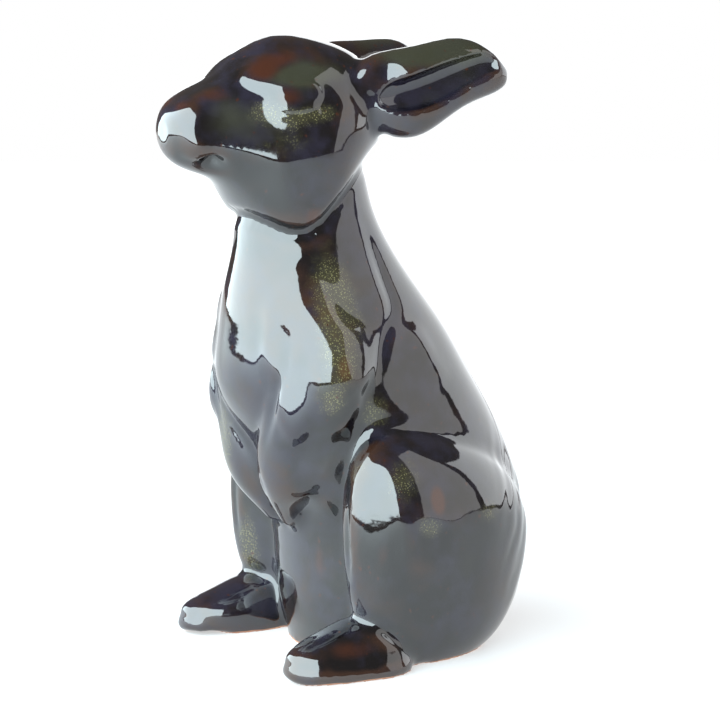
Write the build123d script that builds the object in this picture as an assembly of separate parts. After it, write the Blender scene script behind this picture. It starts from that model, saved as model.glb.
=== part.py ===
from build123d import *
import os
from math import copysign, cos, pi, sin

# A sitting rabbit in glazed earthenware. Sizes are in millimetres.
# +Z is up, the rabbit looks along -Y, and its own left side is +X.
# Each piece is a luted clay piece and keeps its own solid.

# Torso: the hollow shell of belly, chest and neck
TORSO_HEIGHT = 172.0
TORSO_WIDTH = 74.0
TORSO_DEPTH = 90.0
TORSO_WALL = 5.0

# Base slab: closes the shell below, with one vent hole through it
SLAB_THICKNESS = 5.0
VENT_DIAMETER = 9.0

# Head: a hollow form that sits on the neck
HEAD_LENGTH = 82.0
HEAD_WIDTH = 46.0
HEAD_HEIGHT = 67.0
HEAD_WALL = 5.0

# Eyes: domed pellets in sockets
EYE_WIDTH = 20.0
EYE_HEIGHT = 12.5
EYE_BULGE = 3.6
EYE_SEAT = 2.4

# Ears: thick leaves laid straight back, scooped on the outer side
EAR_LENGTH = 55.5
EAR_BREADTH = 31.0
EAR_THICKNESS = 16.0
SCOOP_DEPTH = 6.0
RIGHT_EAR_DROOP = 10.0

# Forelegs: shoulder, arm and paw in one limb
ARM_BREADTH = 33.0

# Haunches: the domed thigh pads
HAUNCH_LENGTH = 84.0
HAUNCH_HEIGHT = 82.0
HAUNCH_TILT = 10.0
HAUNCH_BULGE = 12.5

# Hind feet
FOOT_LENGTH = 50.0
FOOT_WIDTH = 22.0
FOOT_HEIGHT = 22.0

# Tail: a small scut
TAIL_LENGTH = 22.0
TAIL_WIDTH = 18.0

# Torso stations from the ground up: height as a share of the torso's height,
# centre and half depth as shares of its depth, half width as a share of its width
TORSO_SHARES = (
    (0.000, -0.092, 0.340, 0.425),
    (0.047, -0.064, 0.385, 0.458),
    (0.116, -0.026, 0.450, 0.486),
    (0.203, -0.006, 0.483, 0.500),
    (0.291, -0.022, 0.500, 0.500),
    (0.378, -0.083, 0.506, 0.486),
    (0.465, -0.161, 0.506, 0.473),
    (0.552, -0.244, 0.489, 0.446),
    (0.640, -0.300, 0.444, 0.399),
    (0.727, -0.356, 0.378, 0.331),
    (0.814, -0.396, 0.304, 0.270),
    (0.884, -0.424, 0.266, 0.250),
    (0.959, -0.433, 0.233, 0.236),
    (1.000, -0.440, 0.190, 0.200),
)

# Head stations from the nose back: place as a share of the head's length,
# half width as a share of its width, the heights of the centre, the top and the
# underside as shares of its height above the jaw's lowest point, and how square
# the lower half is
HEAD_SHARES = (
    (0.000, 0.065, 0.545, 0.600, 0.493, 2.2),
    (0.022, 0.152, 0.537, 0.655, 0.430, 2.2),
    (0.071, 0.228, 0.537, 0.706, 0.380, 2.2),
    (0.138, 0.278, 0.537, 0.748, 0.345, 2.2),
    (0.223, 0.326, 0.530, 0.800, 0.300, 2.3),
    (0.309, 0.385, 0.507, 0.878, 0.195, 2.6),
    (0.406, 0.450, 0.478, 0.957, 0.060, 3.2),
    (0.510, 0.485, 0.463, 1.000, 0.000, 3.5),
    (0.626, 0.496, 0.478, 0.992, 0.060, 3.2),
    (0.736, 0.467, 0.522, 0.960, 0.195, 2.6),
    (0.845, 0.391, 0.582, 0.905, 0.335, 2.3),
    (0.943, 0.261, 0.612, 0.821, 0.418, 2.2),
    (0.992, 0.109, 0.627, 0.731, 0.522, 2.2),
)
HEAD_HOLLOW_ROWS = slice(4, 11)

# The head stands over the neck: where its underside lies on the torso's height,
# and how far the nose reaches before the neck's centre, of the head's length
JAW_SHARE = 0.831
NOSE_REACH_SHARE = 0.668

# Ear stations from root to tip: place along the ear, centre outward from the
# head's half width, centre height on the head's height, half thickness,
# rise and drop as shares of the ear's thickness and breadth
EAR_SHARES = (
    (0.000, 0.610, 0.731, 0.310, 0.260, 0.260),
    (0.123, 0.700, 0.728, 0.440, 0.365, 0.385),
    (0.263, 0.780, 0.706, 0.500, 0.470, 0.460),
    (0.421, 0.850, 0.720, 0.490, 0.484, 0.490),
    (0.561, 0.890, 0.756, 0.456, 0.453, 0.445),
    (0.684, 0.935, 0.788, 0.425, 0.400, 0.375),
    (0.825, 0.980, 0.803, 0.390, 0.300, 0.300),
    (0.930, 1.000, 0.795, 0.325, 0.180, 0.220),
    (1.000, 1.000, 0.780, 0.190, 0.090, 0.120),
)
EAR_ROOT_SHARE = 0.755
EAR_DROOP_SHARE = 0.421

# Scoop in the ear: place along the ear, centre height on the head's height,
# half height of the ear's breadth, half depth of the scoop's depth
SCOOP_SHARES = (
    (0.130, 0.687, 0.050, 0.25),
    (0.200, 0.694, 0.150, 0.75),
    (0.307, 0.709, 0.194, 1.00),
    (0.465, 0.742, 0.210, 1.00),
    (0.605, 0.782, 0.194, 0.85),
    (0.728, 0.821, 0.160, 0.65),
    (0.833, 0.845, 0.132, 0.50),
    (0.904, 0.840, 0.070, 0.25),
)

# Foreleg stations from shoulder to paw: height on the torso's height, sideways
# place on its half width, half breadth and half thickness of the arm's breadth,
# and how far it stands proud of the torso, of that breadth
ARM_SHARES = (
    (0.791, 0.378, 0.270, 0.240, -0.030),
    (0.762, 0.486, 0.360, 0.270, 0.009),
    (0.721, 0.541, 0.440, 0.330, 0.055),
    (0.669, 0.635, 0.485, 0.390, 0.120),
    (0.616, 0.730, 0.500, 0.450, 0.182),
    (0.570, 0.757, 0.500, 0.470, 0.210),
    (0.523, 0.703, 0.470, 0.450, 0.200),
    (0.477, 0.581, 0.424, 0.420, 0.185),
    (0.419, 0.392, 0.364, 0.364, 0.236),
    (0.360, 0.262, 0.291, 0.291, 0.285),
    (0.314, 0.178, 0.194, 0.194, 0.209),
    (0.276, 0.141, 0.115, 0.115, 0.118),
    (0.259, 0.135, 0.055, 0.055, 0.050),
)
# The half of it that lies within the torso is flatter by this share
ARM_SEAT_SHARE = 0.5

# Haunch outlines from inside the torso's side to the top of the dome: how far out
# of that side, of the bulge, then the reach forward and back, of the haunch's
# length, and the reach up and down, of its height
HAUNCH_SHARES = (
    (-1.36, 0.167, 0.705, 0.427, 0.622),
    (-0.72, 0.232, 0.660, 0.421, 0.614),
    (-0.08, 0.304, 0.567, 0.396, 0.598),
    (0.40, 0.298, 0.452, 0.335, 0.540),
    (0.72, 0.226, 0.333, 0.250, 0.427),
    (0.92, 0.131, 0.202, 0.140, 0.256),
    (1.00, 0.048, 0.071, 0.049, 0.085),
)
HAUNCH_CENTRE_SHARE = -0.222
HAUNCH_LIFT_SHARE = 0.573

# Foot stations from toe to heel: place along the foot, sideways place on half
# the torso's width, half width of the foot's width, and of its height the level
# of the centre and the reach above and below it
FOOT_SHARES = (
    (0.00, 0.975, 0.09, 0.31, 0.10, 0.10),
    (0.03, 0.972, 0.20, 0.30, 0.17, 0.18),
    (0.12, 0.963, 0.35, 0.29, 0.27, 0.23),
    (0.30, 0.950, 0.465, 0.28, 0.42, 0.31),
    (0.50, 0.950, 0.52, 0.27, 0.58, 0.41),
    (0.75, 0.945, 0.51, 0.27, 0.62, 0.45),
    (1.00, 0.860, 0.42, 0.27, 0.50, 0.45),
)
TOE_REACH_SHARE = 0.735

# Tail stations from root to tip: place along the tail and its half width
TAIL_SHARES = (
    (-0.45, 0.40),
    (0.00, 0.48),
    (0.25, 0.50),
    (0.42, 0.38),
    (0.50, 0.16),
)
TAIL_HEIGHT_SHARE = 0.13

# Dome of the eye from its seat out: distance along its axis, of the seat behind
# the head's surface and of the bulge before it, and size of the eye's own
EYE_SHARES = (
    (-1.00, 0.90),
    (0.00, 1.00),
    (0.45, 0.89),
    (0.78, 0.64),
    (0.95, 0.36),
    (1.00, 0.12),
)
EYE_AXIS_SHARES = (1.0, -0.24, 0.26)
EYE_PLACE_SHARE = 0.467
EYE_LIFT_SHARE = 0.722

LOOP_POINTS = 12
FULLNESS = 2.2
HEAD_FULLNESS = 2.35
HAUNCH_FULLNESS = 2.2
SOLE_FULLNESS = 3.2
FAR = 4 * TORSO_HEIGHT


def oval(centre, side, rise, reaches, fullness=FULLNESS, lower=None):
    """A smooth closed loop round centre, in the plane of side and rise.

    reaches holds how far it goes along side, against side, along rise and against
    rise; fullness is how square it is, and lower the same for the half against rise.
    """
    ahead, behind, above, below = reaches
    points = []
    for step in range(LOOP_POINTS):
        angle = 2 * pi * step / LOOP_POINTS
        power = 2 / (lower if lower and sin(angle) < 0 else fullness)
        across = copysign(abs(cos(angle)) ** power, cos(angle))
        along = copysign(abs(sin(angle)) ** power, sin(angle))
        out = ahead if across > 0 else behind
        lift = above if along > 0 else below
        points.append(centre + side * (across * out) + rise * (along * lift))
    half = LOOP_POINTS // 2
    halves = []
    for run, way in ((points[: half + 1], rise), (points[half:] + points[:1], -rise)):
        ends = [way * (run[1] - run[0]).length, -way * (run[-1] - run[-2]).length]
        steps = list(range(half + 1))
        halves.append(Edge.make_spline(run, ends, parameters=steps, scale=False))
    return Wire(halves)


def between(rows, place):
    """Each column of a table of shares, read between its rows at a place."""
    for low, high in zip(rows, rows[1:]):
        if place <= high[0]:
            part = (place - low[0]) / (high[0] - low[0])
            return [a + (b - a) * part for a, b in zip(low, high)]
    return list(rows[-1])


AHEAD = Vector(0, -1, 0)
LEFT = Vector(1, 0, 0)
UP = Vector(0, 0, 1)


def torso_station(height_share):
    """Centre, half depth and half width of the torso at a share of its height."""
    height, centre, depth, width = between(TORSO_SHARES, height_share)
    return (
        Vector(0, centre * TORSO_DEPTH, height * TORSO_HEIGHT),
        depth * TORSO_DEPTH,
        width * TORSO_WIDTH,
    )


def torso_skin(height_share, sideways):
    """A point on the torso's front at a height, and the way it faces there."""
    centre, depth, width = torso_station(height_share)
    share = sideways / width
    forward = (1 - share**FULLNESS) ** (1 / FULLNESS)
    slope = FULLNESS - 1
    facing = Vector(share**slope / width, -(forward**slope) / depth, 0).normalized()
    return Vector(sideways, centre.Y - depth * forward, centre.Z), facing


def torso_form(inset=0.0, floor=0.0):
    """The torso's outer form, or its hollow when it is set in by the wall."""
    loops = []
    for row in TORSO_SHARES:
        centre, depth, width = torso_station(row[0])
        if centre.Z < floor:
            continue
        loops.append(oval(centre, AHEAD, LEFT, (depth - inset,) * 2 + (width - inset,) * 2))
    if floor > 0:
        centre, depth, width = torso_station(floor / TORSO_HEIGHT)
        loops.insert(0, oval(centre, AHEAD, LEFT, (depth - inset,) * 2 + (width - inset,) * 2))
    return Solid.make_loft(loops)


NECK_CENTRE = torso_station(JAW_SHARE)[0]
NOSE_Y = NECK_CENTRE.Y - NOSE_REACH_SHARE * HEAD_LENGTH
JAW_Z = JAW_SHARE * TORSO_HEIGHT


def head_form(rows=HEAD_SHARES, inset=0.0):
    """The head's outer form, or its hollow when it is set in by the wall."""
    loops = []
    for place, width, middle, top, bottom, lower in rows:
        centre = Vector(0, NOSE_Y + place * HEAD_LENGTH, JAW_Z + middle * HEAD_HEIGHT)
        half = width * HEAD_WIDTH - inset
        rise = (top - middle) * HEAD_HEIGHT - inset
        drop = (middle - bottom) * HEAD_HEIGHT - inset
        loops.append(oval(centre, LEFT, UP, (half, half, rise, drop), HEAD_FULLNESS, lower))
    return Solid.make_loft(loops)


def slab_block():
    """A wide block as thick as the base slab, standing on the ground."""
    return Pos(0, 0, SLAB_THICKNESS / 2) * Box(FAR, FAR, SLAB_THICKNESS)


def underground():
    """Everything below the ground."""
    return Pos(0, 0, -FAR / 2) * Box(FAR, FAR, FAR)


def beyond_middle(side):
    """Everything past the middle plane, for a piece on the side 1, left, or -1, right."""
    return Pos(-side * FAR / 2, 0, 0) * Box(FAR, FAR, FAR)


def on_side(shape, side):
    """A left-hand shape as it is, or mirrored to the right."""
    return shape if side > 0 else shape.mirror(Plane.YZ)


def make_eye():
    """The left eye: a dome with a short seat behind it."""
    place, width, middle, top = between(HEAD_SHARES, EYE_PLACE_SHARE)[:4]
    lift = (EYE_LIFT_SHARE - middle) / (top - middle)
    side = width * HEAD_WIDTH * (1 - lift**HEAD_FULLNESS) ** (1 / HEAD_FULLNESS)
    centre = Vector(side, NOSE_Y + place * HEAD_LENGTH, JAW_Z + EYE_LIFT_SHARE * HEAD_HEIGHT)
    axis = Vector(*EYE_AXIS_SHARES).normalized()
    along = UP.cross(axis).normalized()
    rise = axis.cross(along)
    loops = []
    for out, size in EYE_SHARES:
        half = size * EYE_WIDTH / 2
        high = size * EYE_HEIGHT / 2
        depth = out * (EYE_BULGE if out > 0 else EYE_SEAT)
        loops.append(oval(centre + axis * depth, along, rise, (half, half, high, high)))
    return Solid.make_loft(loops)


def make_ear(side):
    """The ear on one side, 1 for left and -1 for right, before the head is cut from it."""
    root = NOSE_Y + EAR_ROOT_SHARE * HEAD_LENGTH
    loops = []
    for place, out, height, thick, rise, drop in EAR_SHARES:
        across = side * out * HEAD_WIDTH / 2
        centre = Vector(across, root + place * EAR_LENGTH, JAW_Z + height * HEAD_HEIGHT)
        half = thick * EAR_THICKNESS
        loops.append(oval(centre, LEFT, UP, (half, half, rise * EAR_BREADTH, drop * EAR_BREADTH)))
    scoops = []
    for place, height, half, deep in SCOOP_SHARES:
        row = between(EAR_SHARES, place)
        surface = row[1] * HEAD_WIDTH / 2 + row[3] * EAR_THICKNESS
        centre = Vector(side * surface, root + place * EAR_LENGTH, JAW_Z + height * HEAD_HEIGHT)
        deep = deep * SCOOP_DEPTH
        high = half * EAR_BREADTH
        scoops.append(oval(centre, LEFT, UP, (deep, deep, high, high)))
    ear = Solid.make_loft(loops) - Solid.make_loft(scoops)
    if side < 0:
        place, out, height = between(EAR_SHARES, EAR_DROOP_SHARE)[:3]
        hinge = Axis((0, root + place * EAR_LENGTH, JAW_Z + height * HEAD_HEIGHT), (1, 0, 0))
        ear = ear.rotate(hinge, -RIGHT_EAR_DROOP)
    return ear


def make_arm():
    """The left foreleg, before the torso is cut from it."""
    centres = []
    facings = []
    for height, side, breadth, thick, proud in ARM_SHARES:
        skin, facing = torso_skin(height, side * TORSO_WIDTH / 2)
        centres.append(skin + facing * ((proud - thick) * ARM_BREADTH))
        facings.append(facing)
    loops = []
    last = len(centres) - 1
    for index, row in enumerate(ARM_SHARES):
        along = (centres[min(index + 1, last)] - centres[max(index - 1, 0)]).normalized()
        across = along.cross(facings[index]).normalized()
        rise = across.cross(along)
        breadth = row[2] * ARM_BREADTH
        thick = row[3] * ARM_BREADTH
        reaches = (breadth, breadth, thick, thick * ARM_SEAT_SHARE)
        loops.append(oval(centres[index], across, rise, reaches))
    return Solid.make_loft(loops)


def make_haunch():
    """The left haunch, before the torso is cut from it."""
    middle_y = HAUNCH_CENTRE_SHARE * TORSO_DEPTH
    middle_z = HAUNCH_LIFT_SHARE * HAUNCH_HEIGHT
    ahead = AHEAD.rotate(Axis.X, -HAUNCH_TILT)
    loops = []
    for out, fore, aft, above, below in HAUNCH_SHARES:
        centre = Vector(TORSO_WIDTH / 2 + out * HAUNCH_BULGE, middle_y, middle_z)
        ends = (
            fore * HAUNCH_LENGTH,
            aft * HAUNCH_LENGTH,
            above * HAUNCH_HEIGHT,
            below * HAUNCH_HEIGHT,
        )
        loops.append(oval(centre, ahead, UP, ends, HAUNCH_FULLNESS))
    return Solid.make_loft(loops)


def make_foot():
    """The left hind foot, before the haunch and torso are cut from it."""
    toe = -TOE_REACH_SHARE * TORSO_DEPTH
    loops = []
    for place, side, width, level, above, below in FOOT_SHARES:
        centre = Vector(side * TORSO_WIDTH / 2, toe + place * FOOT_LENGTH, level * FOOT_HEIGHT)
        half = width * FOOT_WIDTH
        reaches = (half, half, above * FOOT_HEIGHT, below * FOOT_HEIGHT)
        loops.append(oval(centre, LEFT, UP, reaches, FULLNESS, SOLE_FULLNESS))
    return Solid.make_loft(loops)


def make_tail():
    """The tail, before the torso is cut from it."""
    centre, depth, width = torso_station(TAIL_HEIGHT_SHARE)
    loops = []
    for place, size in TAIL_SHARES:
        middle = Vector(0, centre.Y + depth + place * TAIL_LENGTH, centre.Z)
        half = size * TAIL_WIDTH
        loops.append(oval(middle, LEFT, UP, (half,) * 4))
    return Solid.make_loft(loops)


def build():
    """Every piece by its node's name, with the origin under the middle of the whole."""
    torso_outer = torso_form()
    torso_inner = torso_form(TORSO_WALL, SLAB_THICKNESS)
    head_outer = head_form()
    head_inner = head_form(HEAD_SHARES[HEAD_HOLLOW_ROWS], HEAD_WALL)
    vent = Pos(0, torso_station(0)[0].Y, 0) * Cylinder(VENT_DIAMETER / 2, FAR)
    ground = underground()
    pieces = {
        "torso": torso_outer.cut(torso_inner, head_outer, slab_block()),
        "base_slab": (torso_outer & slab_block()) - vent,
        "tail": make_tail() - torso_outer,
    }
    eyes = []
    for name, side in (("left", 1), ("right", -1)):
        eye = on_side(make_eye(), side)
        haunch = on_side(make_haunch(), side).cut(torso_outer, ground)
        foot = on_side(make_foot(), side).cut(torso_outer, haunch, ground)
        arm = on_side(make_arm(), side).cut(torso_outer, haunch, beyond_middle(side))
        pieces[name + "_eye"] = eye
        pieces[name + "_ear"] = make_ear(side) - head_outer
        pieces[name + "_foreleg"] = arm
        pieces[name + "_haunch"] = haunch
        pieces[name + "_hind_foot"] = foot
        eyes.append(eye)
    pieces["head"] = head_outer.cut(head_inner, torso_inner, *eyes)
    box = Compound([shape.solid() for shape in pieces.values()]).bounding_box()
    home = Pos(-box.center().X, -box.center().Y, -box.min.Z)
    return {name: home * shape.solid() for name, shape in pieces.items()}


def main():
    """Write one STEP file for each piece."""
    os.makedirs("parts", exist_ok=True)
    for name, shape in build().items():
        export_step(shape, "parts/" + name + ".step")


if __name__ == "__main__":
    main()
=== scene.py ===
"""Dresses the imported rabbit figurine: a fired, glazed skin in separate pieces, in a soft studio."""
import logging
import math
from dataclasses import dataclass, field
from enum import Enum

import bmesh
import bpy
import numpy as np
from bpy.types import Camera, Material, Mesh, Node, NodeSocket, NodeTree, Object
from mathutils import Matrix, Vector
from mathutils.bvhtree import BVHTree
from mathutils.kdtree import KDTree


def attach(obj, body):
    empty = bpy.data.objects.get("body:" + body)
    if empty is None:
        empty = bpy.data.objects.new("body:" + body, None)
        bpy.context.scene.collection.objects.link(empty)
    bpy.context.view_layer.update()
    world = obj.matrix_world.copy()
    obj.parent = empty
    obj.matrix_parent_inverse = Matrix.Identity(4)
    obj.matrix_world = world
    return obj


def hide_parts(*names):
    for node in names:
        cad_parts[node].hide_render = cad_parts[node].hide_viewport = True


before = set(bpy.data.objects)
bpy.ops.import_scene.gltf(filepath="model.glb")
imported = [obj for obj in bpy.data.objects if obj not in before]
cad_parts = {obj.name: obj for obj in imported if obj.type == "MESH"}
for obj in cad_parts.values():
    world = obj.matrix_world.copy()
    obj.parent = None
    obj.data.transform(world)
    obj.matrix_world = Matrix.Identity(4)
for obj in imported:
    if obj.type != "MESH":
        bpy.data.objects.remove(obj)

LOG = logging.getLogger("rabbit")
MM = 0.001
BODY = "root"

Array = np.ndarray
Point = tuple[float, float, float]
Colour = tuple[float, float, float]


class Hand(Enum):
    """Which side of the rabbit a tool mark is on."""

    LEFT = (1,)
    RIGHT = (-1,)
    BOTH = (1, -1)


class Tone(Enum):
    """A tone that gathers in patches of the glaze, named as the attribute that carries it."""

    GOLD = "gold"
    OLIVE = "olive"
    RUST = "rust"


class Web:
    """The edges between the points of a skin."""

    def __init__(self, faces: Array, count: int) -> None:
        """Finds each edge once.

        Args:
            faces: four point numbers for each face.
            count: how many points there are.
        """
        pairs = sides(faces)
        pairs.sort(axis=1)
        self.pairs = np.unique(pairs, axis=0)
        self.degree = np.bincount(self.pairs.ravel(), minlength=count)

    def across(self, owner: Array) -> Array:
        """Returns the edges from one piece to another, where owner is each point's piece."""
        ends = owner[self.pairs]
        return self.pairs[ends[:, 0] != ends[:, 1]]

    def mean(self, values: Array) -> Array:
        """Averages each point's neighbours.

        Args:
            values: one row for each point.

        Returns:
            The mean of the neighbours' rows.
        """
        first, second = self.pairs.T
        total = np.empty_like(values)
        for axis, column in enumerate(values.T):
            total[:, axis] = np.bincount(first, column[second], len(values))
            total[:, axis] += np.bincount(second, column[first], len(values))
        return total / np.maximum(self.degree, 1)[:, None]


@dataclass
class Clay:
    """The skin of the whole figure as arrays, in millimetres, and each point's CAD piece."""

    points: Array
    faces: Array
    owner: Array | None = None

    @classmethod
    def from_mesh(cls, mesh: Mesh) -> "Clay":
        """Reads a mesh of four-sided faces.

        Args:
            mesh: a mesh in metres.

        Returns:
            The same surface in millimetres.
        """
        points = np.empty(len(mesh.vertices) * 3)
        mesh.vertices.foreach_get("co", points)
        corners = np.empty(len(mesh.loops), dtype=np.int64)
        mesh.loops.foreach_get("vertex_index", corners)
        return cls(points.reshape(-1, 3) / MM, corners.reshape(-1, 4))

    def web(self) -> Web:
        """Returns the surface's edges."""
        return Web(self.faces, len(self.points))

    def near(self, line: Array, reach: float) -> Array:
        """Returns the numbers of the points in the box that reaches past a line."""
        inside = (self.points > line.min(axis=0) - reach) & (self.points < line.max(axis=0) + reach)
        return np.where(inside.all(axis=1))[0]

    def normals(self) -> Array:
        """Returns the outward unit normal at each point."""
        p = self.points
        f = self.faces
        across = np.cross(p[f[:, 2]] - p[f[:, 0]], p[f[:, 3]] - p[f[:, 1]])
        total = np.zeros_like(p)
        for k in range(4):
            for axis in range(3):
                total[:, axis] += np.bincount(f[:, k], across[:, axis], len(p))
        return total / np.maximum(np.linalg.norm(total, axis=1), 1e-9)[:, None]

    def relax(self, rounds: int, weight: Array | float = 1.0, keep: bool = True) -> None:
        """Smooths the surface as a wet sponge does.

        Args:
            rounds: how many passes.
            weight: how much each point follows, from 0 to 1.
            keep: whether each pass is followed by one outward that keeps the volume.
        """
        web = self.web()
        share = np.reshape(weight, (-1, 1))
        for _ in range(rounds):
            for pull in (0.5, -0.52) if keep else (0.5,):
                self.points = self.points + (web.mean(self.points) - self.points) * pull * share


@dataclass(frozen=True)
class Stroke:
    """A mark drawn along a line on the soft clay, in millimetres.

    depth is how far it is pressed in, or raised where it is negative; width is the
    spread of the mark, and fade the share of its length over which each end runs out.
    """

    name: str
    width: float
    depth: float
    line: tuple[Point, ...]
    hand: Hand = Hand.BOTH
    fade: float = 0.25

    def press(self, clay: Clay, normals: Array) -> None:
        """Presses or raises the mark.

        Args:
            clay: the skin.
            normals: its normals before any mark.
        """
        for side in self.hand.value:
            line = smooth_line(np.array(self.line)) * (side, 1, 1)
            near = clay.near(line, 3 * self.width)
            away, along = distance_to(line, clay.points[near])
            ends = np.clip(np.minimum(along, 1 - along) / max(self.fade, 1e-6), 0, 1)
            taper = ease(ends) if self.fade > 0 else 1.0
            push = self.depth * np.exp(-((away / self.width) ** 2)) * taper
            clay.points[near] -= normals[near] * push[:, None]


@dataclass(frozen=True)
class Dab:
    """A soft mound or hollow pressed at one place, in millimetres."""

    name: str
    centre: Point
    reach: Point
    height: float

    def press(self, clay: Clay, normals: Array) -> None:
        """Raises or hollows the place along the normals, which are from before any mark."""
        for side in Hand.BOTH.value:
            share = closeness(clay.points, self.centre, self.reach, side)
            clay.points = clay.points + normals * (self.height * share)[:, None]


@dataclass(frozen=True)
class Paddle:
    """A flat tool pressed against the soft clay, in millimetres and degrees.

    turned is the way it faces, round from the front, and tilt how far that is upwards.
    share is how much of the way to the flat the clay is pressed.
    """

    name: str
    centre: Point
    turned: float
    tilt: float
    reach: Point
    share: float = 1.0

    def press(self, clay: Clay, normals: Array) -> None:
        """Presses or draws the place to a flat.

        Args:
            clay: the skin.
            normals: not used: a flat has its own direction.
        """
        for side in Hand.BOTH.value:
            way = facing(self.turned, self.tilt) * (side, 1, 1)
            offset = clay.points - np.array(self.centre) * (side, 1, 1)
            bulk = ((offset / np.array(self.reach)) ** 2).sum(axis=1)
            rise = offset @ way
            near = np.abs(rise) < max(self.reach)
            push = np.where(near, rise, 0) * np.exp(-(bulk**2)) * self.share
            clay.points = clay.points - way * push[:, None]


Mark = Stroke | Dab | Paddle


@dataclass(frozen=True)
class Patch:
    """A place where one tone of the glaze gathers, in millimetres."""

    tone: Tone
    centre: Point
    reach: Point
    strength: float = 1.0
    hand: Hand = Hand.BOTH

    def over(self, points: Array) -> Array:
        """Returns how strong the tone is at each of the points."""
        marks = (closeness(points, self.centre, self.reach, side) for side in self.hand.value)
        return self.strength * sum(marks)


def ease(share: Array) -> Array:
    """Returns shares from 0 to 1 with both ends made soft."""
    return share * share * (3 - 2 * share)


def closeness(points: Array, centre: Point, reach: Point, side: int) -> Array:
    """Returns 1 for points at a centre, on one side of the rabbit, and less further off."""
    offset = (points - np.array(centre) * (side, 1, 1)) / np.array(reach)
    return np.exp(-(offset**2).sum(axis=1))


def facing(turned: float, tilt: float = 0.0) -> Array:
    """Returns the unit vector so far round from the front and so far up, in degrees."""
    turn, rise = np.radians((turned, tilt))
    return np.array((np.sin(turn) * np.cos(rise), -np.cos(turn) * np.cos(rise), np.sin(rise)))


def sides(faces: Array) -> Array:
    """Returns the four sides of each face, as pairs of point numbers in its order."""
    return np.concatenate([faces[:, [k, (k + 1) % 4]] for k in range(4)])


def add_object(name: str, data: Mesh | Camera) -> Object:
    """Puts a mesh or a camera into the scene.

    Args:
        name: the object's name.
        data: what it shows.

    Returns:
        The object.
    """
    thing = bpy.data.objects.new(name, data)
    bpy.context.scene.collection.objects.link(thing)
    return thing


def shaped(thing: Object) -> Mesh:
    """Returns an object's mesh as its modifiers leave it."""
    graph = bpy.context.evaluated_depsgraph_get()
    return bpy.data.meshes.new_from_object(thing.evaluated_get(graph))


def mesh_of(name: str, points: Array, faces: Array, triangles: Array | None = None) -> Mesh:
    """Makes a mesh of four-sided faces and, where given, triangles.

    Args:
        name: the mesh's name.
        points: places in millimetres.
        faces: four point numbers for each face.
        triangles: three point numbers for each further face.

    Returns:
        The mesh, in metres, shaded smooth.
    """
    mesh = bpy.data.meshes.new(name)
    mesh.vertices.add(len(points))
    mesh.vertices.foreach_set("co", (points * MM).ravel())
    corners = faces.ravel()
    starts = np.arange(0, faces.size, 4)
    if triangles is not None:
        starts = np.concatenate([starts, faces.size + np.arange(0, triangles.size, 3)])
        corners = np.concatenate([corners, triangles.ravel()])
    mesh.loops.add(len(corners))
    mesh.loops.foreach_set("vertex_index", corners)
    mesh.polygons.add(len(starts))
    mesh.polygons.foreach_set("loop_start", starts)
    mesh.polygons.foreach_set("use_smooth", np.ones(len(starts), dtype=bool))
    mesh.update(calc_edges=True)
    return mesh


def bridge(mesh: Mesh) -> None:
    """Closes a mesh between its two open edges.

    Args:
        mesh: the mesh.
    """
    work = bmesh.new()
    work.from_mesh(mesh)
    bmesh.ops.bridge_loops(work, edges=[edge for edge in work.edges if edge.is_boundary])
    work.to_mesh(mesh)
    work.free()


def mesh_heights(mesh: Mesh) -> Array:
    """Returns the height of each face's middle, in millimetres.

    Args:
        mesh: a mesh in metres.
    """
    middles = np.empty(len(mesh.polygons) * 3, dtype=np.float32)
    mesh.polygons.foreach_get("center", middles)
    return middles[2::3] / MM


def islands(count: int, pairs: Array) -> Array:
    """Labels the points that hang together.

    Args:
        count: how many points there are.
        pairs: the edges.

    Returns:
        For each point the lowest number in its island.
    """
    label = np.arange(count)
    while True:
        low = np.minimum(label[pairs[:, 0]], label[pairs[:, 1]])
        fresh = label.copy()
        np.minimum.at(fresh, pairs[:, 0], low)
        np.minimum.at(fresh, pairs[:, 1], low)
        np.minimum.at(fresh, label, fresh)
        fresh = fresh[fresh]
        if (fresh == label).all():
            return label
        label = fresh


def smooth_line(line: Array) -> Array:
    """Rounds a line through its points, with five short runs for each long one.

    Args:
        line: the points, in order.

    Returns:
        The points of the rounded line.
    """
    if len(line) < 3:
        return line
    ends = np.vstack([2 * line[0] - line[1], line, 2 * line[-1] - line[-2]])
    rows = []
    for k in range(1, len(ends) - 2):
        a, b, c, d = ends[k - 1 : k + 3]
        bend = 2 * a - 5 * b + 4 * c - d
        twist = 3 * b - a - 3 * c + d
        for t in np.arange(5) / 5:
            rows.append(0.5 * (2 * b + (c - a) * t + bend * t**2 + twist * t**3))
    rows.append(line[-1])
    return np.array(rows)


def distance_to(line: Array, points: Array) -> tuple[Array, Array]:
    """Measures how far points lie from a line.

    Args:
        line: the line's points.
        points: the places to measure.

    Returns:
        The distance of each place, and how far along the line it is, from 0 to 1.
    """
    best = np.full(len(points), np.inf)
    along = np.zeros(len(points))
    runs = np.linalg.norm(np.diff(line, axis=0), axis=1)
    starts = np.concatenate([[0.0], np.cumsum(runs)])
    for k, run in enumerate(runs):
        way = (line[k + 1] - line[k]) / max(run, 1e-9)
        offset = points - line[k]
        part = np.clip(offset @ way, 0, run)
        away = np.linalg.norm(offset - part[:, None] * way, axis=1)
        closer = away < best
        best = np.where(closer, away, best)
        along = np.where(closer, (starts[k] + part) / starts[-1], along)
    return best, along


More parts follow.
